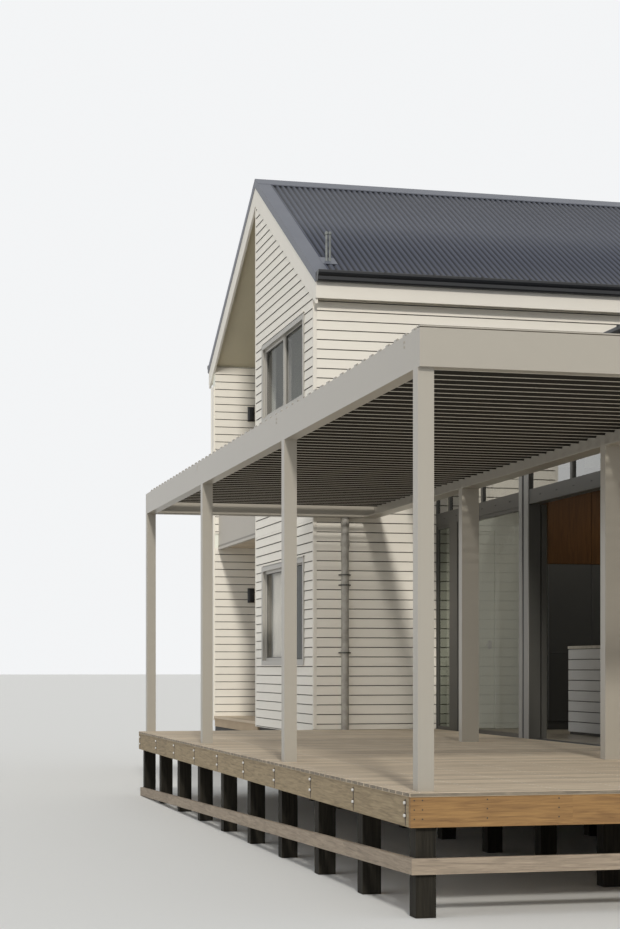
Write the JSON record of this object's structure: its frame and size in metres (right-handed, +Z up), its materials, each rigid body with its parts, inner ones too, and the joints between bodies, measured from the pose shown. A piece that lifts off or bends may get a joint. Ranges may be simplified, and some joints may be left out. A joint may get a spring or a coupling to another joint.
{
  "type": "two storey beach house with a louvred pergola",
  "caption": "Gabled weatherboard beach house with a corrugated roof, a glazed living wing, sliding doors, a raised timber deck on piles and a louvred pergola",
  "frame": {"origin": "Middle of the house's bounding box in plan, on the ground plane at its base", "axes": "+X along the deck's front edge from the pergola's outer posts to the house, +Y from the deck's front back to the tall volume, +Z up"},
  "size_m": [13.62, 17.566, 8.0592],
  "materials": {
    "deck_timber": "weathered hardwood",
    "framing_timber": "rough sawn",
    "pale_timber": "rough sawn",
    "oiled_timber": "oiled",
    "pile_timber": "dark stained",
    "weathered_timber": "weathered",
    "pergola_metal": "satin",
    "louvre_metal": "satin",
    "foundation_block": "matt",
    "floor_timber": "satin",
    "ceiling_board": "matt",
    "painted_boards": "satin paint",
    "concrete": "matt",
    "balcony_timber": "weathered",
    "grooved_panel": "satin",
    "roof_steel": "satin",
    "trim_paint": "satin paint",
    "gutter_steel": "satin",
    "pipe_metal": "satin",
    "black_metal": "matt",
    "window_metal": "satin",
    "curtain_cloth": "soft",
    "door_metal": "satin",
    "island_paint": "satin paint",
    "worktop_stone": "polished",
    "dark_cabinet": "satin",
    "brown_timber": "satin",
    "glass": "clear"
  },
  "bodies": {
    "house": {"decking": "deck_timber", "deck_joists": "framing_timber", "deck_bearers": "framing_timber", "deck_side_fascia": "pale_timber", "deck_front_fascia": "oiled_timber", "deck_piles": "pile_timber", "ground_boards": "weathered_timber", "pergola_posts": "pergola_metal", "wall_posts": "pergola_metal", "pergola_long_beams": "pergola_metal", "pergola_cross_beams": "pergola_metal", "louvre_rails": "pergola_metal", "louvre_blades": "louvre_metal", "foundation": "foundation_block", "ground_floor": "floor_timber", "upper_floor": "ceiling_board", "gable_wall": "painted_boards", "near_wall": "painted_boards", "far_wall": "painted_boards", "east_wall": "painted_boards", "recess_walls": "painted_boards", "porch_slab": "concrete", "balcony_floor": "balcony_timber", "balcony_panel": "grooved_panel", "roof_near_slope": "roof_steel", "roof_far_slope": "roof_steel", "ridge_caps": "roof_steel", "barge_boards": "trim_paint", "eave_boards": "trim_paint", "gutters": "gutter_steel", "roof_vent": "roof_steel", "downpipe": "pipe_metal", "wall_lights": "black_metal", "window_frames": "window_metal", "window_glass": "glass", "curtain": "curtain_cloth", "wing_end_wall": "painted_boards", "wing_back_wall": "painted_boards", "wing_side_wall": "painted_boards", "wing_lintel": "painted_boards", "wing_roof_left": "roof_steel", "wing_roof_right": "roof_steel", "glazing_sill": "door_metal", "glazing_posts": "door_metal", "glazing_head": "door_metal", "fixed_leaf": "door_metal", "fixed_glass": "glass", "kitchen_island": "island_paint", "island_top": "worktop_stone", "tall_cabinets": "dark_cabinet", "timber_panel": "brown_timber"},
    "middle_leaf": {"sliding_leaf_mid": "door_metal", "sliding_glass_mid": "glass"},
    "outer_leaf": {"sliding_leaf_outer": "door_metal", "sliding_glass_outer": "glass"}
  },
  "joints": [
    {"name": "middle_leaf_slide", "type": "slide", "parent": "house", "child": "middle_leaf", "axis": [0, 1, 0], "range_m": [0, 1.0217]},
    {"name": "outer_leaf_slide", "type": "slide", "parent": "house", "child": "outer_leaf", "axis": [0, 1, 0], "range_m": [0, 2.0433]}
  ]
}
